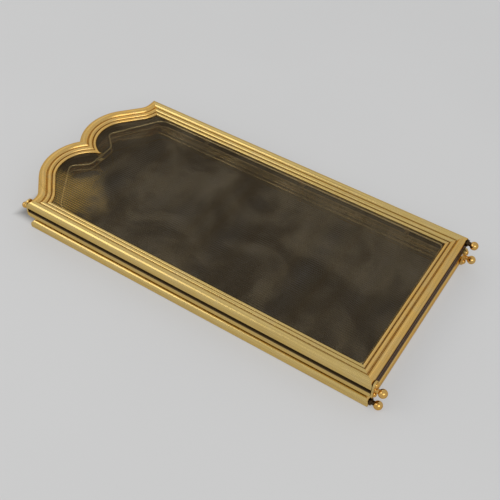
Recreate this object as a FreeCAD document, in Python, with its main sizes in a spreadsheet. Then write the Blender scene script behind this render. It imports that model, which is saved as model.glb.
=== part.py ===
import FreeCAD, Part
import math
import os
import Sketcher

# Folding three-panel brass spark screen, lying folded flat. X runs across the panels, Y up their
# height towards the lobed top, Z through the stack. Panel A lies on top with its moulded face up,
# panel B in the middle with its face down, panel C at the bottom with its face up.

DIMENSIONS = {
    "panel_width": 323.0,        # outside width of one panel
    "corner_height": 600.0,      # outside height of a panel at its corners
    "lobe_height": 650.0,        # outside height of a panel at its two lobes
    "lobe_offset": 50.0,         # from the centre line to the top of a lobe
    "lobe_radius": 80.0,         # outer radius of a lobe
    "flank_angle": 41.0,         # slope of the straight stretch between shoulder and lobe, degrees
    "shoulder_radius": 23.5,     # outer radius of the hollow shoulder beside each corner
    "bead_radius": 7.0,          # big outer bead of the moulding, round above the pivot line
    "bead_trim": 0.4,            # by which the flat back is less deep than the bead's radius
    "back_corner": 1.2,          # rounding between the outer wall and the flat back
    "reed_width": 7.5,           # middle reed
    "inner_reed_width": 5.5,     # inner reed, beside the mesh
    "groove_floor": 0.3,         # flat floor between the two reeds
    "groove_height": 9.3,        # floor of the outer groove, from a bead radius below the pivot
    "inner_groove_height": 7.1,  # floor of the inner groove, on the same scale
    "inner_edge_height": 6.3,    # inner edge of the moulding, on the same scale
    "reed_crown": 2.6,           # middle reed above the mean of the levels beside it
    "inner_reed_crown": 1.9,     # inner reed, likewise
    "flange_height": 5.1,        # underside of the moulding's flange, where the mesh lies
    "panel_pitch": 19.8,         # from one folded panel to the next, and between a link's pivots
    "mesh_thickness": 1.2,       # two wires thick
    "mesh_inset": 20.0,          # edge of the mesh from the panel's outer edge
    "rod_radius": 1.3,
    "rod_inset": 28.5,           # retaining rod from the panel's outer edge
    "rod_shoulder_height": 559.0,
    "rod_peak_height": 612.0,
    "rod_peak_offset": 50.0,
    "rod_dip_height": 586.0,
    "rod_dip_offset": 26.0,
    "rod_corner_bend": 6.0,
    "rod_shoulder_bend": 25.0,
    "rod_peak_bend": 9.0,
    "rod_dip_bend": 16.0,
    "rod_joint_gap": 0.4,        # butt joint of the rod, at the middle of the bottom run
    "clip_gauge": 0.7,           # sheet of the rod clips
    "clip_width": 8.0,
    "clip_reach": 11.0,          # from the rod to the end of the clip's foot
    "screw_position": 7.0,       # from the rod to the clip's screw
    "screw_radius": 0.9,
    "screw_head_radius": 1.8,
    "screw_head_height": 1.1,
    "screw_depth": 3.2,          # clip screw's shank, from under its head
    "washer_radius": 5.0,
    "washer_thickness": 0.5,
    "mitre_slack": 1.0,          # by which a mitre's cutting outline clears the moulding
    "running_gap": 0.05,         # radial and axial play of the link on its pivot screws
    "link_thickness": 2.9,
    "link_radius": 6.6,          # half the width of the link, and its round ends
    "link_edge": 0.5,            # rounding of the link's outer edge
    "pivot_radius": 2.5,         # shoulder of a pivot screw
    "thread_radius": 2.0,
    "thread_depth": 12.0,
    "cap_radius": 4.8,           # domed head of a pivot screw
    "cap_height": 3.8,
    "cap_rim": 0.5,              # upright edge of the cap, below its dome
    "ball_radius": 6.6,
    "link_ball_drop": 14.5,      # centre of a link's ball foot beyond the panel's end
    "end_ball_drop": 12.0,       # centre of a panel's own ball foot beyond its end
    "neck_radius": 3.4,
    "link_collar_radius": 4.2,
    "link_collar_height": 1.3,
    "collar_corner": 0.6,        # rounding of a collar's upper edge
    "end_collar_radius": 5.4,
    "end_collar_height": 3.2,
    "finial_radius": 5.0,
    "finial_rise": 12.2,         # centre of a finial beyond the panel's top corner
}

PANELS = {"a": 2, "b": 1, "c": 0}    # level of each panel in the folded stack

doc = FreeCAD.newDocument("FoldingSparkScreen")
sheet = doc.addObject("Spreadsheet::Sheet", "Dimensions")
for row, (alias, value) in enumerate(DIMENSIONS.items(), 1):
    sheet.set(f"A{row}", alias.replace("_", " "))
    sheet.set(f"B{row}", str(value))
    sheet.setAlias(f"B{row}", alias)
doc.recompute()


def size(alias):
    return float(sheet.get(alias))


def vec(x, y, z=0.0):
    return FreeCAD.Vector(x, y, z)


half_width = size("panel_width") / 2
corner_height = size("corner_height")
bead = size("bead_radius")
face_width = 2 * bead + size("reed_width") + size("inner_reed_width")
pivot_offset = half_width - bead
stack_centre = bead - size("bead_trim")
link_start = size("washer_thickness") + size("running_gap")
link_end = link_start + size("link_thickness")
cap_start = link_end + size("running_gap")
lowest = -(size("link_ball_drop") + size("ball_radius"))
middle = (size("lobe_height") + lowest) / 2


# ---------------------------------------------------------------- document helpers

def add_body(label):
    body = doc.addObject("PartDesign::Body", label)
    body.Label = label
    return body


def add_sketch(body, role, edges, offset=None):
    """A sketch on one of the body's own origin planes, moved along its normal by an expression."""
    sketch = body.newObject("Sketcher::SketchObject", "Sketch")
    base = next(item for item in body.Origin.OriginFeatures if item.Role == role)
    sketch.AttachmentSupport = [(base, "")]
    sketch.MapMode = "FlatFace"
    sketch.addGeometry(edges, False)
    if offset:
        sketch.setExpression(".AttachmentOffset.Base.z", offset)
    return sketch


def bind_radii(sketch, expressions):
    """Ties the radii of arcs and circles of a sketch, by their index in it, to the sheet."""
    for index, expression in expressions.items():
        radius = sketch.Geometry[index].Radius
        constraint = sketch.addConstraint(Sketcher.Constraint("Radius", index, radius))
        sketch.setExpression(f"Constraints[{constraint}]", expression)


def circle(x, y, radius):
    return Part.Circle(vec(x, y), vec(0, 0, 1), radius)


def chain(start, *steps):
    """Lines and arcs, closed. A step is a point, or a pair: a point on the arc and its end."""
    edges = []
    here = start
    for step in steps + (start,):
        if isinstance(step, tuple):
            edges.append(Part.ArcOfCircle(here, step[0], step[1]))
            here = step[1]
        elif here.distanceToPoint(step) > 1e-6:
            edges.append(Part.LineSegment(here, step))
            here = step
    return edges


def arc_point(centre, radius, degrees):
    turn = math.radians(degrees)
    return centre + vec(radius * math.cos(turn), radius * math.sin(turn))


def dome(radius, base, rise):
    """Step for chain(): from a head's rim at base to its crown on the turning axis, on one ball."""
    ball = (radius**2 + rise**2) / (2 * rise)
    half_angle = math.asin(radius / ball) / 2
    crown = base + rise
    return vec(ball * math.sin(half_angle), crown - ball * (1 - math.cos(half_angle))), vec(0, crown)


def pocket_through(body, edges):
    """Cuts a closed outline, drawn in the panel's plane, right through the body."""
    sketch = add_sketch(body, "XY_Plane", edges)
    pocket = body.newObject("PartDesign::Pocket", "Mitre")
    pocket.Profile = sketch
    pocket.Type = "Length"
    pocket.SideType = "Symmetric"
    pocket.setExpression("Length", "Dimensions.bead_radius * 4")
    doc.recompute()


# ---------------------------------------------------------------- outline of a panel

def half_outline(inset, side, past_cusp=0.0):
    """Right or left half of the top, from the shoulder to the cusp, inset from the outer edge.
    past_cusp carries the lobe on to where a line inset by so much more meets the centre line."""
    flank = size("flank_angle")
    lobe = vec(size("lobe_offset"), size("lobe_height") - size("lobe_radius"))
    lobe_radius = size("lobe_radius") - inset
    hollow_radius = size("shoulder_radius") + inset
    flank_top = arc_point(lobe, size("lobe_radius"), 90 - flank)
    drop = flank_top.y - corner_height - size("shoulder_radius") * (1 - math.cos(math.radians(flank)))
    foot_x = flank_top.x + drop / math.tan(math.radians(flank))
    hollow = vec(
        foot_x + size("shoulder_radius") * math.sin(math.radians(flank)),
        corner_height + size("shoulder_radius"),
    )
    start_x = min(hollow.x, half_width - inset)
    start_angle = 270 - math.degrees(math.asin((hollow.x - start_x) / hollow_radius))
    end_angle = 270 - flank
    reach = lobe_radius - past_cusp
    cusp_angle = 180 - math.degrees(math.acos(size("lobe_offset") / reach))
    points = {
        "hollow_start": arc_point(hollow, hollow_radius, start_angle),
        "hollow_middle": arc_point(hollow, hollow_radius, (start_angle + end_angle) / 2),
        "hollow_end": arc_point(hollow, hollow_radius, end_angle),
        "lobe_start": arc_point(lobe, lobe_radius, 90 - flank),
        "lobe_middle": arc_point(lobe, lobe_radius, 90),
        "cusp": arc_point(lobe, lobe_radius, cusp_angle),
    }
    return {name: vec(side * point.x, point.y - middle) for name, point in points.items()}


def mesh_outline():
    inset = size("mesh_inset")
    right = half_outline(inset, 1)
    left = half_outline(inset, -1)
    bottom = inset - middle
    edge = half_width - inset
    return chain(
        vec(-edge, bottom),
        vec(edge, bottom),
        right["hollow_start"],
        (right["hollow_middle"], right["hollow_end"]),
        right["lobe_start"],
        (right["lobe_middle"], right["cusp"]),
        (left["lobe_middle"], left["lobe_start"]),
        left["hollow_end"],
        (left["hollow_middle"], left["hollow_start"]),
    )


# ---------------------------------------------------------------- moulded frame

def moulding(edge, inward):
    """Section of the moulding: edge is its outer side, inward the way to the mesh. Heights are from
    the pivot line. The bead is round on its face and has an upright outer wall and a flat back."""
    groove = size("groove_height") - bead
    inner_groove = size("inner_groove_height") - bead
    inner_edge = size("inner_edge_height") - bead
    flange = size("flange_height") - bead
    back = size("bead_trim") - bead
    corner = size("back_corner")
    corner_middle = corner * (1 - math.sqrt(0.5))
    bead_diagonal = bead * math.sqrt(0.5)
    rise = math.sqrt(bead**2 - groove**2)
    tuck = math.sqrt(bead**2 - flange**2)
    rest = math.sqrt(bead**2 - back**2)
    reed_start = 2 * bead
    inner_start = reed_start + size("reed_width")
    reed_end = inner_start - size("groove_floor")
    crest = (groove + inner_groove) / 2 + size("reed_crown")
    inner_crest = (inner_groove + inner_edge) / 2 + size("inner_reed_crown")

    def at(depth, height):
        return vec(edge + inward * depth, height)

    return chain(
        at(corner, back),
        (at(corner_middle, back + corner_middle), at(0, back + corner)),
        at(0, 0),
        (at(bead, bead), at(bead + rise, groove)),
        at(reed_start, groove),
        (at((reed_start + reed_end) / 2, crest), at(reed_end, inner_groove)),
        at(inner_start, inner_groove),
        (at((inner_start + face_width) / 2, inner_crest), at(face_width, inner_edge)),
        at(face_width, flange),
        at(bead + tuck, flange),
        (at(bead + bead_diagonal, -bead_diagonal), at(bead + rest, back)),
    )


def frame_member(label, plane, offset, edge, inward, path, cuts):
    """One length of the moulding, swept along its outer edge and cut at its mitres."""
    body = add_body(label)
    profile = add_sketch(body, plane, moulding(edge, inward), offset)
    spine = add_sketch(body, "XY_Plane", path)
    pipe = body.newObject("PartDesign::AdditivePipe", "Moulding")
    pipe.Profile = profile
    pipe.Spine = (spine, [f"Edge{number}" for number in range(1, len(path) + 1)])
    doc.recompute()
    for cut in cuts:
        pocket_through(body, cut)
    return body


def corner_cut(side, end, keep_stile):
    """Triangle on one side of a corner's mitre line. end is 0 at the bottom and 1 at the top."""
    reach = face_width * 1.5
    slack = size("mitre_slack")
    up = 1 - 2 * end
    corner = vec(side * half_width, end * corner_height - middle)
    outer = corner + vec(side * slack, -up * slack)
    inner = corner + vec(-side * reach, up * reach)
    third = vec(inner.x, outer.y) if keep_stile else vec(outer.x, inner.y)
    return chain(outer, third, inner)


def beyond_cusp(side):
    """Box on the far side of the centre line from a top rail, where the other rail takes over."""
    low = corner_height - face_width - middle
    high = size("lobe_height") + size("mitre_slack") - middle
    far = -side * 2 * size("lobe_offset")
    return chain(vec(0, low), vec(0, high), vec(far, high), vec(far, low))


def straight(x1, y1, x2, y2):
    return [Part.LineSegment(vec(x1, y1), vec(x2, y2))]


def top_rail_path(side):
    points = half_outline(0, side, face_width)
    edges = chain(
        vec(side * half_width, corner_height - middle),
        points["hollow_start"],
        (points["hollow_middle"], points["hollow_end"]),
        points["lobe_start"],
        (points["lobe_middle"], points["cusp"]),
    )
    return edges[:-1]


def panel_frame(prefix):
    bottom = -middle
    top = corner_height - middle
    members = []
    for word, side in (("left", -1), ("right", 1)):
        edge = side * half_width
        members.append(
            frame_member(
                f"{prefix}_stile_{word}", "XZ_Plane", f"{middle}", edge, -side,
                straight(edge, bottom, edge, top),
                [corner_cut(side, 0, True), corner_cut(side, 1, True)],
            )
        )
        members.append(
            frame_member(
                f"{prefix}_top_rail_{word}", "YZ_Plane", f"{side} * Dimensions.panel_width / 2",
                top, -1, top_rail_path(side), [corner_cut(side, 1, False), beyond_cusp(side)],
            )
        )
    members.append(
        frame_member(
            f"{prefix}_bottom_rail", "YZ_Plane", "-Dimensions.panel_width / 2", bottom, 1,
            straight(-half_width, bottom, half_width, bottom),
            [corner_cut(-1, 0, False), corner_cut(1, 0, False)],
        )
    )
    return members


# ---------------------------------------------------------------- mesh, rod and clips

def mesh_plate(prefix):
    """Envelope of the woven wire, lying against the underside of the flange."""
    body = add_body(f"{prefix}_mesh")
    offset = "Dimensions.flange_height - Dimensions.bead_radius - Dimensions.mesh_thickness"
    sketch = add_sketch(body, "XY_Plane", mesh_outline(), offset)
    pad = body.newObject("PartDesign::Pad", "Mesh")
    pad.Profile = sketch
    pad.setExpression("Length", "Dimensions.mesh_thickness")
    return body


def rounded_path(points, bends):
    """Straight runs joined by tangent arcs, one bend for each point between the ends."""
    edges = []
    here = points[0]
    for before, corner, after, bend in zip(points, points[1:], points[2:], bends):
        back = (before - corner).normalize()
        ahead = (after - corner).normalize()
        half_angle = back.getAngle(ahead) / 2
        tangent = bend / math.tan(half_angle)
        start = corner + back * tangent
        end = corner + ahead * tangent
        bisector = (back + ahead).normalize()
        centre = corner + bisector * (bend / math.sin(half_angle))
        edges.append(Part.LineSegment(here, start))
        edges.append(Part.ArcOfCircle(start, centre - bisector * bend, end))
        here = end
    edges.append(Part.LineSegment(here, points[-1]))
    return edges


def rod_height():
    return size("flange_height") - bead - size("mesh_thickness") - size("rod_radius")


def retaining_rod(prefix):
    inset = size("rod_inset")
    edge = half_width - inset
    low = inset - middle
    gap = size("rod_joint_gap") / 2
    corners = [
        (edge, low, size("rod_corner_bend")),
        (edge, size("rod_shoulder_height") - middle, size("rod_shoulder_bend")),
        (size("rod_peak_offset"), size("rod_peak_height") - middle, size("rod_peak_bend")),
        (size("rod_dip_offset"), size("rod_dip_height") - middle, size("rod_dip_bend")),
    ]
    left = [(-x, y, bend) for x, y, bend in reversed(corners)]
    turns = corners + left
    points = [vec(gap, low)] + [vec(x, y) for x, y, bend in turns] + [vec(-gap, low)]
    body = add_body(f"{prefix}_retaining_rod")
    height = rod_height()
    profile = add_sketch(body, "YZ_Plane", [circle(low, height, size("rod_radius"))],
                         "Dimensions.rod_joint_gap / 2")
    bind_radii(profile, {0: "Dimensions.rod_radius"})
    spine = add_sketch(body, "XY_Plane", rounded_path(points, [turn[2] for turn in turns]), f"{height}")
    pipe = body.newObject("PartDesign::AdditivePipe", "Rod")
    pipe.Profile = profile
    pipe.Spine = (spine, [f"Edge{number}" for number in range(1, 2 * len(turns) + 2)])
    return body


def clip_places():
    """Where the clips hold the rod, and the way from each to the frame."""
    edge = half_width - size("rod_inset")
    low = size("rod_inset") - middle
    places = [(vec(0, size("rod_dip_height") - middle), vec(0, 1))]
    for side in (-1, 1):
        places.append((vec(side * edge / 2, low), vec(0, -1)))
        for share in (0.16, 0.5, 0.84):
            height = share * size("rod_shoulder_height") - middle
            places.append((vec(side * edge, height), vec(side, 0)))
    return places


def placed_copies(shape):
    """Copies of a shape, drawn with +X towards the frame, one at each clip's place."""
    copies = []
    for point, way in clip_places():
        copy = shape.copy()
        turn = FreeCAD.Rotation(vec(1, 0), way)
        copy.Placement = FreeCAD.Placement(vec(point.x, point.y), turn) * shape.Placement
        copies.append(copy)
    return Part.makeCompound(copies)


def rod_clip_shape():
    """Z-shaped clip: a cap over the rod, a leg beside it and a foot on the mesh's border."""
    gauge = size("clip_gauge")
    foot = size("flange_height") - bead - size("mesh_thickness")
    cap = foot - 2 * size("rod_radius") - gauge
    leg = size("rod_radius") + 0.1
    near = -size("rod_radius")
    corners = [
        (near, cap), (leg + gauge, cap), (leg + gauge, foot - gauge),
        (size("clip_reach"), foot - gauge), (size("clip_reach"), foot),
        (leg, foot), (leg, cap + gauge), (near, cap + gauge),
    ]
    width = size("clip_width")
    wire = Part.makePolygon([FreeCAD.Vector(x, -width / 2, z) for x, z in corners + corners[:1]])
    clip = Part.Face(wire).extrude(vec(0, width))
    hole = Part.makeCylinder(size("screw_radius"), bead, FreeCAD.Vector(size("screw_position"), 0, -bead))
    return clip.cut(hole)


def clip_screw_shape():
    """Low round head under the clip's foot, and a shank up into the moulding."""
    seat = size("flange_height") - bead - size("mesh_thickness") - size("clip_gauge")
    head = size("screw_head_radius")
    shank = size("screw_radius")
    tip = seat + size("screw_depth")
    outline = chain(
        vec(0, tip),
        vec(shank, tip),
        vec(shank, seat),
        vec(head, seat),
        dome(head, seat, -size("screw_head_height")),
    )
    face = Part.Face(Part.Wire([edge.toShape() for edge in outline]))
    screw = face.revolve(vec(0, 0), vec(0, 1), 360)
    screw.rotate(vec(0, 0), vec(1, 0), 90)
    screw.translate(vec(size("screw_position"), 0))
    return screw


def add_group(label, shape):
    feature = doc.addObject("Part::Feature", label)
    feature.Label = label
    feature.Shape = placed_copies(shape)
    return feature


# ---------------------------------------------------------------- turned and sheet hardware

def turned(label, edges):
    """A piece turned about the pivot direction: radius along X, distance from the panel along Y."""
    body = add_body(label)
    sketch = add_sketch(body, "XY_Plane", edges)
    turn = body.newObject("PartDesign::Revolution", "Turned")
    turn.Profile = sketch
    turn.ReferenceAxis = (sketch, ["V_Axis"])
    turn.Angle = 360
    return body


def pivot_screw(label):
    """Domed cap, shoulder through the link and washer, and a thread into the panel's corner."""
    cap = size("cap_radius")
    rim = cap_start + size("cap_rim")
    return turned(label, chain(
        vec(0, -size("thread_depth")),
        vec(size("thread_radius"), -size("thread_depth")),
        vec(size("thread_radius"), 0),
        vec(size("pivot_radius"), 0),
        vec(size("pivot_radius"), cap_start),
        vec(cap, cap_start),
        vec(cap, rim),
        dome(cap, rim, size("cap_height") - size("cap_rim")),
    ))


def washer(label):
    body = add_body(label)
    hole = size("pivot_radius") + size("running_gap")
    sketch = add_sketch(body, "XZ_Plane", [circle(0, 0, size("washer_radius")), circle(0, 0, hole)])
    bind_radii(sketch, {0: "Dimensions.washer_radius", 1: "Dimensions.pivot_radius + Dimensions.running_gap"})
    pad = body.newObject("PartDesign::Pad", "Washer")
    pad.Profile = sketch
    pad.Reversed = True
    pad.setExpression("Length", "Dimensions.washer_thickness")
    return body


def link_plate(label):
    """Oval plate with an eye at each end and a threaded hole for its ball between them."""
    body = add_body(label)
    half = size("panel_pitch") / 2
    round_end = size("link_radius")
    eye = size("pivot_radius") + size("running_gap")
    edges = chain(
        vec(round_end, -half),
        vec(round_end, half),
        (vec(0, half + round_end), vec(-round_end, half)),
        vec(-round_end, -half),
        (vec(0, -half - round_end), vec(round_end, -half)),
    )
    edges += [circle(0, -half, eye), circle(0, half, eye), circle(0, 0, size("thread_radius"))]
    start = "-(Dimensions.washer_thickness + Dimensions.running_gap)"
    sketch = add_sketch(body, "XZ_Plane", edges, start)
    bind_radii(sketch, {5: "Dimensions.pivot_radius + Dimensions.running_gap", 6: "Dimensions.thread_radius"})
    pad = body.newObject("PartDesign::Pad", "Plate")
    pad.Profile = sketch
    pad.Reversed = True
    pad.setExpression("Length", "Dimensions.link_thickness")
    doc.recompute()
    rim = [
        f"Edge{number}"
        for number, edge in enumerate(pad.Shape.Edges, 1)
        if edge.Length > size("panel_pitch") - 1 and edge.BoundBox.YMin > link_end - 0.01
    ]
    fillet = body.newObject("PartDesign::Fillet", "Rim")
    fillet.Base = (pad, rim)
    fillet.setExpression("Radius", "Dimensions.link_edge")
    return body


def ball_on_stem(label, foot, collar_radius, collar_height, centre, radius):
    """A ball on a waisted neck above a collar, with a threaded tail below it."""
    neck = min(size("neck_radius"), radius * 0.62)
    join = centre - math.sqrt(radius**2 - neck**2)
    collar_top = foot + collar_height
    corner = size("collar_corner")
    corner_middle = corner * (1 - math.sqrt(0.5))
    tail = link_start if foot else -size("thread_depth")
    return turned(label, chain(
        vec(0, tail),
        vec(size("thread_radius"), tail),
        vec(size("thread_radius"), foot),
        vec(collar_radius, foot),
        vec(collar_radius, collar_top - corner),
        (vec(collar_radius - corner_middle, collar_top - corner_middle),
         vec(collar_radius - corner, collar_top)),
        vec(neck, collar_top),
        vec(neck, join),
        (vec(radius, centre), vec(0, centre + radius)),
    ))


# ---------------------------------------------------------------- assembly

parts = []


def place(feature, x, y, level, upside_down=False):
    """Moves a piece to its place, turned about X where it belongs at the bottom end."""
    turn = FreeCAD.Rotation(vec(1, 0), 180 if upside_down else 0)
    height = stack_centre + level * size("panel_pitch")
    feature.Placement = FreeCAD.Placement(FreeCAD.Vector(x, y, height), turn)
    parts.append(feature)


ends = {"bottom": (-middle, True), "top": (corner_height - middle, False)}

for name, level in PANELS.items():
    prefix = f"panel_{name}"
    pieces = panel_frame(prefix) + [
        mesh_plate(prefix),
        retaining_rod(prefix),
        add_group(f"{prefix}_rod_clips", rod_clip_shape()),
        add_group(f"{prefix}_clip_screws", clip_screw_shape()),
    ]
    face_turn = FreeCAD.Rotation(vec(0, 1), 180 if level % 2 else 0)
    for piece in pieces:
        height = stack_centre + level * size("panel_pitch")
        piece.Placement = FreeCAD.Placement(FreeCAD.Vector(0, 0, height), face_turn)
        parts.append(piece)

for link_name, side, lower, upper in (("ab", -1, "b", "a"), ("bc", 1, "c", "b")):
    for end, (y, flipped) in ends.items():
        x = side * pivot_offset
        link_level = (PANELS[lower] + PANELS[upper]) / 2
        place(link_plate(f"link_{link_name}_{end}"), x, y, link_level, flipped)
        for panel in (lower, upper):
            place(pivot_screw(f"pivot_screw_{link_name}_{panel}_{end}"), x, y, PANELS[panel], flipped)
            place(washer(f"washer_{link_name}_{panel}_{end}"), x, y, PANELS[panel], flipped)
        if end == "bottom":
            ball = ball_on_stem(f"ball_foot_link_{link_name}", link_end, size("link_collar_radius"),
                                size("link_collar_height"), size("link_ball_drop"), size("ball_radius"))
        else:
            ball = ball_on_stem(f"finial_link_{link_name}", link_end, size("link_collar_radius"),
                                size("link_collar_height"), size("finial_rise"), size("finial_radius"))
        place(ball, x, y, link_level, flipped)

for panel, side in (("a", 1), ("c", -1)):
    ball = ball_on_stem(f"ball_foot_panel_{panel}", 0, size("end_collar_radius"),
                        size("end_collar_height"), size("end_ball_drop"), size("ball_radius"))
    place(ball, side * pivot_offset, -middle, PANELS[panel], True)

doc.recompute()
for item in doc.Objects:
    if "Invalid" in item.State or "Error" in item.State:
        raise RuntimeError(f"{item.Label} failed to rebuild: {item.State}")
os.makedirs("parts", exist_ok=True)
for part in parts:
    if part.Shape.isNull() or not part.Shape.isValid():
        raise RuntimeError(f"{part.Label} has no valid shape")
for part in parts:
    part.Shape.exportStep(f"parts/{part.Label}.step")
    print(part.Label, len(part.Shape.Solids), round(part.Shape.Volume, 1))
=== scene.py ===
import math

import bpy
import numpy as np
from mathutils import Matrix, Vector


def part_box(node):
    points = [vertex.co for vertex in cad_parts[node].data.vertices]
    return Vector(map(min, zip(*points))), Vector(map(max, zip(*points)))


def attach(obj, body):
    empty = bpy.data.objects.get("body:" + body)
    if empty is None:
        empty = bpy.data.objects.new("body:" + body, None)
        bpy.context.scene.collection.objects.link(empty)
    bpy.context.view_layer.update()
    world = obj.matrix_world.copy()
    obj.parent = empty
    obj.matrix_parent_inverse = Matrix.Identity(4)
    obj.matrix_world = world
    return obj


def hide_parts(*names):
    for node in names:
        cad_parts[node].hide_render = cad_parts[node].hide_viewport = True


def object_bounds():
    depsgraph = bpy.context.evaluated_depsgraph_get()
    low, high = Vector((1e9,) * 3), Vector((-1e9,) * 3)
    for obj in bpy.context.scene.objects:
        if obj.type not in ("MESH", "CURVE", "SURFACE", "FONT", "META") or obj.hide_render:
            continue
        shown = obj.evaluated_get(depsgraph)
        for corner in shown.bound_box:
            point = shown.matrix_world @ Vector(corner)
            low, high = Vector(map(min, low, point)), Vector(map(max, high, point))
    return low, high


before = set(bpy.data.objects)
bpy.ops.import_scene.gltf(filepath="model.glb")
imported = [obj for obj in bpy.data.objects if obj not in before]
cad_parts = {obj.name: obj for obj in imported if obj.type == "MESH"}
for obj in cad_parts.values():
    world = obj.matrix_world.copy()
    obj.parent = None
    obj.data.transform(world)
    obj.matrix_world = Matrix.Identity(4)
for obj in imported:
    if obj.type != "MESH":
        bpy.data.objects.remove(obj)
cad_low, cad_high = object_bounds()

# Folding brass spark screen, lying folded. Metres throughout, in the frame of the CAD model.

PANELS = ("a", "b", "c")          # from the top of the folded stack to the bottom

LOBE_OFFSET = 0.050               # of a lobe's centre from the panel's centre line
LOBE_RADIUS = 0.080

WIRE_RADIUS = 0.00035
WIRE_LIFT = 0.00025               # of a wire's centre above or below the mesh's middle
WARP_PITCH = 0.0040               # between the wires that run along the panel's height
WEFT_PITCH = 0.0019               # between the wires that run across it

GLINT_X = -0.105                   # middle of the painted golden highlight in the mesh
GLINT_DROP = 0.060                 # of the highlight's middle below the mesh's top
GLINT_REACH = 0.066

NECK_START = 0.88                 # of a ball foot's width, where the painted shade on its neck begins

FLOOR_HALF = 4.0
FLOOR_GAP = 0.0002                # between the floor and the object's lowest point
FLOOR_GLOW = 0.33
FLOOR_FADE = 0.02                 # over which the glow ends, under the frame

WORLD_TINT = (0.98, 0.99, 1.0, 1.0)
WORLD_STRENGTH = 0.62
SOFTBOXES = {                     # place, width and height, power in watts, tint
    "window": ((-0.95, 1.20, 1.45), (1.3, 0.9), 5.5, (1.0, 0.98, 0.95)),
    "back": ((1.05, 1.0, 1.7), (1.3, 1.0), 0.9, (1.0, 1.0, 1.0)),
    "front": ((-1.6, -2.0, 1.9), (2.4, 1.6), 22, (1.0, 0.99, 0.97)),
}

SENSOR_WIDTH = 36.0               # in millimetres, as the lens
CAMERA_LENS = 60.26
CAMERA_CLIP = (0.05, 20.0)
CAMERA_DISTANCE = 1.2387          # from the point that the camera looks at
CAMERA_AZIMUTH = -58.97
CAMERA_ELEVATION = 46.84
CAMERA_ROLL = 2.52
CAMERA_AIM = (-0.0503, -0.0542)   # from the centre of the object's upper face, in X and Y


# ------------------------------------------------------------------ node helpers

class Nodes:
    """A material's node tree, with short ways to add the nodes that the materials below share."""

    def __init__(self, name):
        self.material = bpy.data.materials.new(name)
        self.material.use_nodes = True
        self.tree = self.material.node_tree
        self.tree.nodes.clear()
        self.shader = self.add("ShaderNodeBsdfPrincipled")
        output = self.add("ShaderNodeOutputMaterial")
        self.link(self.shader.outputs[0], output.inputs["Surface"])
        coordinates = self.add("ShaderNodeTexCoord")
        self.place = coordinates.outputs["Object"]
        self.facing = coordinates.outputs["Normal"]

    def add(self, kind, **settings):
        node = self.tree.nodes.new(kind)
        for key, value in settings.items():
            setattr(node, key, value)
        return node

    def link(self, source, target):
        self.tree.links.new(source, target)

    def feed(self, socket, value):
        """Sets a socket, or links another node's output to it."""
        if isinstance(value, bpy.types.NodeSocket):
            self.link(value, socket)
        else:
            socket.default_value = value

    def maths(self, operation, *values, clamp=False):
        node = self.add("ShaderNodeMath", operation=operation, use_clamp=clamp)
        for socket, value in zip(node.inputs, values):
            self.feed(socket, value)
        return node.outputs[0]

    def axes(self, source):
        node = self.add("ShaderNodeSeparateXYZ")
        self.link(source, node.inputs[0])
        return node.outputs[0], node.outputs[1], node.outputs[2]

    def vector(self, x, y, z):
        node = self.add("ShaderNodeCombineXYZ")
        for socket, value in zip(node.inputs, (x, y, z)):
            self.feed(socket, value)
        return node.outputs[0]

    def stretched(self, source, scale):
        node = self.add("ShaderNodeMapping")
        self.link(source, node.inputs["Vector"])
        node.inputs["Scale"].default_value = scale
        return node.outputs[0]

    def noise(self, source, scale, detail=3.0, roughness=0.55, distortion=0.0):
        node = self.add("ShaderNodeTexNoise")
        self.link(source, node.inputs["Vector"])
        node.inputs["Scale"].default_value = scale
        node.inputs["Detail"].default_value = detail
        node.inputs["Roughness"].default_value = roughness
        node.inputs["Distortion"].default_value = distortion
        return node.outputs["Fac"]

    def span(self, value, low, high, to_low=0.0, to_high=1.0):
        """value from low to high, smoothly, becomes to_low to to_high."""
        node = self.add("ShaderNodeMapRange", interpolation_type="SMOOTHSTEP")
        for socket, entry in zip(node.inputs, (value, low, high, to_low, to_high)):
            self.feed(socket, entry)
        return node.outputs[0]

    def mix(self, share, first, second, blend="MIX"):
        node = self.add("ShaderNodeMix", data_type="RGBA", blend_type=blend)
        self.feed(node.inputs["Factor"], share)
        self.feed(node.inputs[6], first)
        self.feed(node.inputs[7], second)
        return node.outputs[2]

    def occlusion(self, distance):
        """1 in the open and 0 deep in a groove, from this piece alone."""
        node = self.add("ShaderNodeAmbientOcclusion", samples=6, only_local=True)
        node.inputs["Distance"].default_value = distance
        return node.outputs["AO"]

    def bump(self, height, distance, strength):
        node = self.add("ShaderNodeBump")
        self.link(height, node.inputs["Height"])
        node.inputs["Distance"].default_value = distance
        node.inputs["Strength"].default_value = strength
        self.link(node.outputs[0], self.shader.inputs["Normal"])


def grey(level):
    return (level, level, level, 1.0)


# ------------------------------------------------------------------ materials

BRASS = (0.73, 0.525, 0.18, 1.0)
BRASS_WARM = (0.82, 0.50, 0.135, 1.0)
BRASS_PALE = (0.69, 0.52, 0.24, 1.0)
BRASS_DULL = (0.40, 0.26, 0.085, 1.0)
# painted shade colour, laid deep in the grooves
GROOVE_SHADE = (0.070, 0.026, 0.008, 1.0)
# painted shade colour, for the shaded walls and the ball feet's necks
PAINTED_SHADE_BROWN = (0.060, 0.034, 0.014, 1.0)
EDGE_TINT = (0.80, 0.60, 0.30, 1.0)
# darker edge tint, which goes with the painted shade on the walls
SHADED_EDGE_TINT = (0.35, 0.20, 0.07, 1.0)
# painted shade colour for the panels' back faces
BACK_SHADE = (0.11, 0.070, 0.030, 1.0)
BALL_GOLD = (0.72, 0.40, 0.085, 1.0)
BALL_BRONZE = (0.42, 0.22, 0.05, 1.0)
SHEET_BRASS = (0.72, 0.50, 0.17, 1.0)
SHEET_DULL = (0.30, 0.18, 0.06, 1.0)
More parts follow.
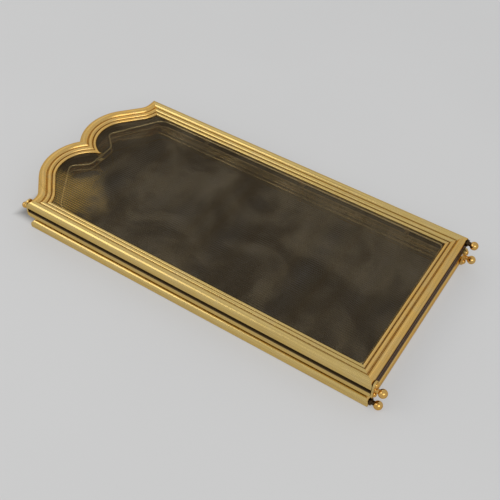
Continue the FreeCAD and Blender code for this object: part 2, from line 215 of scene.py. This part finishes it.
# painted highlight: panel a's rod colour is a brighter copy of the brass
PAINTED_LIT_ROD = (0.95, 0.72, 0.32, 1.0)
PAINTED_LIT_ROD_DULL = (0.60, 0.42, 0.16, 1.0)
# painted shade: the other rods' colour is a darker copy of the brass
PAINTED_SHADE_ROD = (0.36, 0.24, 0.10, 1.0)
PAINTED_SHADE_ROD_DULL = (0.20, 0.12, 0.05, 1.0)
WIRE_DARK = (0.100, 0.072, 0.036, 1.0)
WIRE_PALE = (0.235, 0.185, 0.110, 1.0)
WIRE_GRIME = (0.050, 0.033, 0.015, 1.0)
# painted golden highlight on the wires
WIRE_GLINT_GOLD = (1.0, 0.64, 0.13, 1.0)

BALL_ROUGHNESS = 0.13
BALL_GROOVE = 0.0045              # how far the shade in the groove behind a ball reaches
STILE_GROOVE = 0.0058             # likewise in a stile's grooves


def brass(name, brushed, tone=BRASS, dull=BRASS_DULL, roughness=0.24, groove=0.004, centre=None,
          shaded_wall=False, shade_from=None, back=0):
    """Lacquered brass with fine lines along the way named by brushed: x, y or round centre, and
    painted shade deep in its grooves.
    shaded_wall paints shade on what faces -Y, and shade_from on what lies on the +Y side of that
    place. back is the side of the panel's back, whose faces get painted shade, 1 above or -1 below."""
    nodes = Nodes(name)
    shader = nodes.shader
    x, y, z = nodes.axes(nodes.place)
    if brushed == "round":
        across_x = nodes.maths("SUBTRACT", x, centre[0])
        across_y = nodes.maths("SUBTRACT", y, centre[1])
        squares = nodes.maths("ADD", nodes.maths("MULTIPLY", across_x, across_x),
                              nodes.maths("MULTIPLY", across_y, across_y))
        reach = nodes.maths("SQRT", squares)
        turn = nodes.maths("MULTIPLY", nodes.maths("ARCTAN2", across_y, across_x), LOBE_RADIUS)
        lines = nodes.stretched(nodes.vector(reach, turn, z), (1.0, 0.03, 1.0))
    else:
        along = {"x": (0.02, 1.0, 1.0), "y": (1.0, 0.02, 1.0)}
        lines = nodes.stretched(nodes.place, along[brushed])
    hairlines = nodes.noise(lines, 5200, 3.0, 0.7)
    streaks = nodes.noise(lines, 520, 3.0, 0.6)
    cloud = nodes.noise(nodes.place, 38, 4.0, 0.6, 0.6)
    specks = nodes.noise(nodes.place, 900, 2.0, 0.6)

    colour = nodes.mix(nodes.span(cloud, 0.35, 0.75, 0.0, 0.5), tone, BRASS_PALE)
    colour = nodes.mix(nodes.span(streaks, 0.45, 0.72, 0.0, 0.40), colour, dull)
    colour = nodes.mix(nodes.span(specks, 0.70, 0.80, 0.0, 0.15), colour, dull)
    # painted shade: the colour darkens deep in the grooves, patchy at its edge
    groove_shade = nodes.span(nodes.occlusion(groove), 0.28, 0.72, 1.0, 0.0)
    ragged = nodes.maths("MULTIPLY", groove_shade, nodes.span(cloud, 0.2, 0.5, 0.7, 1.0))
    colour = nodes.mix(ragged, colour, GROOVE_SHADE)
    if back:
        # painted shade on the back faces, which lie in shade in the folded stack
        back_shade = nodes.span(nodes.maths("MULTIPLY", nodes.axes(nodes.facing)[2], back), 0.1, 0.5)
        colour = nodes.mix(back_shade, colour, BACK_SHADE)
        ragged = nodes.maths("MAXIMUM", ragged, nodes.maths("MULTIPLY", back_shade, 0.7))
    if shaded_wall:
        # painted shade on the walls that face -Y, which lie in the shade of the stack's gaps
        wall_shade = nodes.span(nodes.axes(nodes.facing)[1], -0.95, -0.75, 1.0, 0.0)
        colour = nodes.mix(wall_shade, colour, PAINTED_SHADE_BROWN)
    # painted shade on the ball foot's neck, on the +Y side of that place
    if shade_from is not None:
        colour = nodes.mix(nodes.span(y, shade_from, shade_from + 0.001), colour, PAINTED_SHADE_BROWN)
    nodes.link(colour, shader.inputs["Base Color"])

    rough = nodes.span(hairlines, 0.3, 0.7, roughness - 0.03, roughness + 0.04)
    rough = nodes.maths("ADD", rough, nodes.maths("MULTIPLY", ragged, 0.35))
    rough = nodes.maths("ADD", rough, nodes.span(cloud, 0.4, 0.7, 0.0, 0.06))
    nodes.link(rough, shader.inputs["Roughness"])
    nodes.link(nodes.maths("SUBTRACT", 1.0, nodes.maths("MULTIPLY", ragged, 0.5)),
               shader.inputs["Metallic"])
    # the shaded walls' grazing reflections get a darker tint, also painted shade
    shader.inputs["Specular Tint"].default_value = SHADED_EDGE_TINT if shaded_wall else EDGE_TINT
    shader.inputs["Coat Weight"].default_value = 0.2
    shader.inputs["Coat Roughness"].default_value = 0.18
    nodes.bump(nodes.maths("ADD", hairlines, nodes.maths("MULTIPLY", streaks, 1.5)), 0.00006, 0.14)
    return nodes.material


def woven_wire(name, centre):
    """Darkened brass wire, with a painted golden highlight round centre, brightest at the wires'
    crossings.
    """
    nodes = Nodes(name)
    shader = nodes.shader
    cloud = nodes.noise(nodes.place, 11, 3.0, 0.5, 1.0)
    fine = nodes.noise(nodes.place, 700, 2.0, 0.6)
    colour = nodes.mix(nodes.span(cloud, 0.4, 0.65), WIRE_DARK, WIRE_PALE)
    colour = nodes.mix(nodes.span(fine, 0.35, 0.75, 0.0, 0.6), colour, WIRE_GRIME)
    offset = nodes.add("ShaderNodeVectorMath", operation="DISTANCE")
    nodes.link(nodes.place, offset.inputs[0])
    offset.inputs[1].default_value = centre
    ragged = nodes.span(nodes.noise(nodes.place, 30, 2.0), 0.3, 0.7, -0.02, 0.02)
    edge = nodes.maths("ADD", offset.outputs["Value"], ragged)
    # painted highlight: golden light off the wires round the centre, brightest at their crossings
    glint = nodes.span(edge, GLINT_REACH * 0.25, GLINT_REACH, 1.0, 0.0)
    x, y = nodes.axes(nodes.place)[:2]
    across = nodes.maths("COSINE", nodes.maths("MULTIPLY", x, math.tau / WARP_PITCH))
    along = nodes.maths("COSINE", nodes.maths("MULTIPLY", y, math.pi / WEFT_PITCH))
    glint_dots = nodes.span(nodes.maths("ADD", across, along), -0.3, 0.9, 0.05, 1.0)
    colour = nodes.mix(nodes.maths("MULTIPLY", glint, glint_dots), colour, WIRE_GLINT_GOLD)
    nodes.link(colour, shader.inputs["Base Color"])
    shader.inputs["Metallic"].default_value = 0.45
    nodes.link(nodes.span(fine, 0.3, 0.7, 0.38, 0.55), shader.inputs["Roughness"])
    nodes.bump(fine, 0.00005, 0.4)
    return nodes.material


def pale_floor(middle, half):
    """Pale floor that glows a little, as a lit sweep does, but not in the box round middle."""
    nodes = Nodes("studio_floor")
    cloud = nodes.noise(nodes.place, 3.0, 3.0, 0.5)
    grain = nodes.noise(nodes.place, 600, 2.0, 0.5)
    colour = nodes.mix(nodes.span(cloud, 0.3, 0.7), grey(0.30), grey(0.31))
    colour = nodes.mix(nodes.span(grain, 0.3, 0.7, 0.0, 0.1), colour, grey(0.28))
    nodes.link(colour, nodes.shader.inputs["Base Color"])
    x, y = nodes.axes(nodes.place)[:2]
    off_x = nodes.maths("ABSOLUTE", nodes.maths("SUBTRACT", x, middle.x))
    off_y = nodes.maths("ABSOLUTE", nodes.maths("SUBTRACT", y, middle.y))
    beside_x = nodes.span(off_x, half.x, half.x + FLOOR_FADE)
    beside_y = nodes.span(off_y, half.y, half.y + FLOOR_FADE)
    nodes.shader.inputs["Emission Color"].default_value = grey(1.0)
    nodes.link(nodes.maths("MULTIPLY", nodes.maths("MAXIMUM", beside_x, beside_y), FLOOR_GLOW),
               nodes.shader.inputs["Emission Strength"])
    nodes.shader.inputs["Roughness"].default_value = 0.85
    nodes.bump(grain, 0.0002, 0.15)
    return nodes.material


# ------------------------------------------------------------------ finish of the CAD pieces

def paint(node, material):
    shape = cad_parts[node]
    shape.data.materials.clear()
    shape.data.materials.append(material)


def finish_frames():
    for panel in PANELS:
        # each panel's back faces get painted shade; panel b lies face down
        back = 1 if panel == "b" else -1
        upright = brass(f"brass_brushed_up_{panel}", "y", groove=STILE_GROOVE, back=back)
        # the bottom rails of panels a and b get painted shade on their walls that face -Y
        level = brass(f"brass_brushed_across_{panel}", "x", BRASS_WARM,
                      shaded_wall=panel != "c", back=back)
        paint(f"panel_{panel}_stile_left", upright)
        paint(f"panel_{panel}_stile_right", upright)
        paint(f"panel_{panel}_bottom_rail", level)
        for side in ("left", "right"):
            node = f"panel_{panel}_top_rail_{side}"
            low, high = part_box(node)
            lobe_x = math.copysign(LOBE_OFFSET, low.x + high.x)
            material = brass(f"brass_lobe_{panel}_{side}", "round", BRASS_WARM,
                             centre=(lobe_x, high.y - LOBE_RADIUS), back=back)
            paint(node, material)


def finish_hardware():
    turned = brass("brass_turned", "x", BALL_GOLD, BALL_BRONZE, BALL_ROUGHNESS, BALL_GROOVE)
    sheet = brass("brass_sheet", "x", SHEET_BRASS, SHEET_DULL, 0.28, 0.002)
    # panel a's rod is painted with a highlight, and the other rods with shade
    painted_lit_rod = brass("brass_rod_painted_lit", "x", PAINTED_LIT_ROD, PAINTED_LIT_ROD_DULL, 0.28, 0.001)
    painted_shade_rod = brass("brass_rod", "x", PAINTED_SHADE_ROD, PAINTED_SHADE_ROD_DULL, 0.36, 0.001)
    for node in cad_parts:
        if node.startswith("ball_foot_panel"):
            low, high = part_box(node)
            neck = low.y + NECK_START * (high.x - low.x)
            necked = brass(f"brass_{node}", "x", BALL_GOLD, BALL_BRONZE, BALL_ROUGHNESS, BALL_GROOVE,
                           shade_from=neck)
            paint(node, necked)
        elif node.startswith(("ball_foot", "finial", "pivot_screw")):
            paint(node, turned)
        elif node.startswith(("washer", "link")) or "clip" in node:
            paint(node, sheet)
        elif node.endswith("retaining_rod"):
            paint(node, painted_lit_rod if node.startswith("panel_a") else painted_shade_rod)


# ------------------------------------------------------------------ woven mesh

def outline_of(node):
    """The edge of a flat CAD plate's upper face, as pairs of points in X and Y."""
    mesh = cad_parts[node].data
    counted = {}
    for face in mesh.polygons:
        if face.normal.z < 0.9:
            continue
        places = [mesh.vertices[index].co for index in face.vertices]
        corners = [(round(place.x, 6), round(place.y, 6)) for place in places]
        for pair in zip(corners, corners[1:] + corners[:1]):
            key = tuple(sorted(pair))
            counted[key] = counted.get(key, 0) + 1
    return np.array([key for key, uses in counted.items() if uses == 1])


def spans_at(outline, axis, place):
    """Where the line at that place on the other axis lies inside the outline, along axis."""
    other = 1 - axis
    start, end = outline[:, 0], outline[:, 1]
    crossed = (start[:, other] > place) != (end[:, other] > place)
    start, end = start[crossed], end[crossed]
    share = (place - start[:, other]) / (end[:, other] - start[:, other])
    hits = np.sort(start[:, axis] + share * (end[:, axis] - start[:, axis]))
    return list(zip(hits[::2], hits[1::2]))


def woven_wires(name, outline, axis, pitch, crossing, level, phase):
    """All the wires that run along one axis, over one crossing wire and under the next. Each has
    four sides, taken in the order that turns its faces outwards."""
    other = 1 - axis
    low, high = outline[:, :, other].min(), outline[:, :, other].max()
    ring = [(0, 1), (1, 0), (0, -1), (-1, 0)] if axis else [(1, 0), (0, 1), (-1, 0), (0, -1)]
    points, faces = [], []
    for number in range(math.ceil(low / pitch - 0.5), math.floor(high / pitch - 0.5) + 1):
        place = (number + 0.5) * pitch
        for begin, end in spans_at(outline, axis, place):
            first = math.ceil(begin / crossing - 0.5)
            last = math.floor(end / crossing - 0.5)
            stations = [(begin, 0.0)]
            for step in range(first, last + 1):
                lift = WIRE_LIFT * (1 if (number + step + phase) % 2 else -1)
                stations.append(((step + 0.5) * crossing, lift))
            stations.append((end, 0.0))
            base = len(points)
            for along, lift in stations:
                for sideways, up in ring:
                    point = [0.0, 0.0, level + lift + up * WIRE_RADIUS]
                    point[axis] = along
                    point[other] = place + sideways * WIRE_RADIUS
                    points.append(point)
            faces.append((base + 3, base + 2, base + 1, base))
            for row in range(len(stations) - 1):
                near = base + 4 * row
                for side in range(4):
                    turn = (side + 1) % 4
                    faces.append((near + side, near + turn, near + 4 + turn, near + 4 + side))
            tip = base + 4 * (len(stations) - 1)
            faces.append((tip, tip + 1, tip + 2, tip + 3))
    mesh = bpy.data.meshes.new(name)
    mesh.from_pydata(points, [], faces)
    mesh.polygons.foreach_set("use_smooth", [True] * len(faces))
    piece = bpy.data.objects.new(name, mesh)
    bpy.context.collection.objects.link(piece)
    return piece


def weave_panels():
    for panel in PANELS:
        node = f"panel_{panel}_mesh"
        low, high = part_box(node)
        level = (low.z + high.z) / 2
        outline = outline_of(node)
        material = woven_wire(f"wire_{panel}", (GLINT_X, high.y - GLINT_DROP, level))
        warp = woven_wires(f"mesh_{panel}_warp", outline, 1, WARP_PITCH, WEFT_PITCH, level, 1)
        weft = woven_wires(f"mesh_{panel}_weft", outline, 0, WEFT_PITCH, WARP_PITCH, level, 0)
        for piece in (warp, weft):
            piece.data.materials.append(material)
            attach(piece, f"panel_{panel}")
        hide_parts(node)


# ------------------------------------------------------------------ floor, light and camera

def make_floor():
    mesh = bpy.data.meshes.new("floor")
    level = cad_low.z - FLOOR_GAP
    corners = [(-FLOOR_HALF, -FLOOR_HALF, level), (FLOOR_HALF, -FLOOR_HALF, level),
               (FLOOR_HALF, FLOOR_HALF, level), (-FLOOR_HALF, FLOOR_HALF, level)]
    mesh.from_pydata(corners, [], [(0, 1, 2, 3)])
    floor = bpy.data.objects.new("floor", mesh)
    bpy.context.collection.objects.link(floor)
    low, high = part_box("panel_c_mesh")
    floor.data.materials.append(pale_floor((low + high) / 2, (high - low) / 2))


def aim(thing, target):
    thing.rotation_mode = "QUATERNION"
    thing.rotation_quaternion = (Vector(target) - thing.location).to_track_quat("-Z", "Y")


def add_softbox(name, target, place, size, power, tint):
    light = bpy.data.lights.new(name, "AREA")
    light.shape = "RECTANGLE"
    light.size, light.size_y = size
    light.energy = power
    light.color = tint
    lamp = bpy.data.objects.new(name, light)
    lamp.location = place
    aim(lamp, target)
    bpy.context.collection.objects.link(lamp)


def make_lights():
    world = bpy.data.worlds.new("studio")
    bpy.context.scene.world = world
    world.use_nodes = True
    surround = world.node_tree.nodes["Background"]
    surround.inputs["Color"].default_value = WORLD_TINT
    surround.inputs["Strength"].default_value = WORLD_STRENGTH
    centre = (cad_low + cad_high) / 2
    for name, settings in SOFTBOXES.items():
        add_softbox(name, centre, *settings)


def make_camera():
    lens = bpy.data.cameras.new("camera")
    lens.sensor_width = SENSOR_WIDTH
    lens.lens = CAMERA_LENS
    lens.clip_start, lens.clip_end = CAMERA_CLIP
    camera = bpy.data.objects.new("camera", lens)
    azimuth, elevation = math.radians(CAMERA_AZIMUTH), math.radians(CAMERA_ELEVATION)
    level = math.cos(elevation)
    back = Vector((math.sin(azimuth) * level, -math.cos(azimuth) * level, math.sin(elevation)))
    centre = (cad_low + cad_high) / 2
    target = Vector((centre.x + CAMERA_AIM[0], centre.y + CAMERA_AIM[1], cad_high.z))
    roll = Matrix.Rotation(math.radians(CAMERA_ROLL), 3, "Z")
    turned = (-back).to_track_quat("-Z", "Y").to_matrix() @ roll
    camera.rotation_mode = "QUATERNION"
    camera.rotation_quaternion = turned.to_quaternion()
    camera.location = target + back * CAMERA_DISTANCE
    bpy.context.collection.objects.link(camera)
    bpy.context.scene.camera = camera


def view_transform():
    """Plain display of the light, without a film look."""
    bpy.context.scene.view_settings.view_transform = "Standard"


finish_frames()
finish_hardware()
weave_panels()
make_floor()
make_lights()
make_camera()
view_transform()
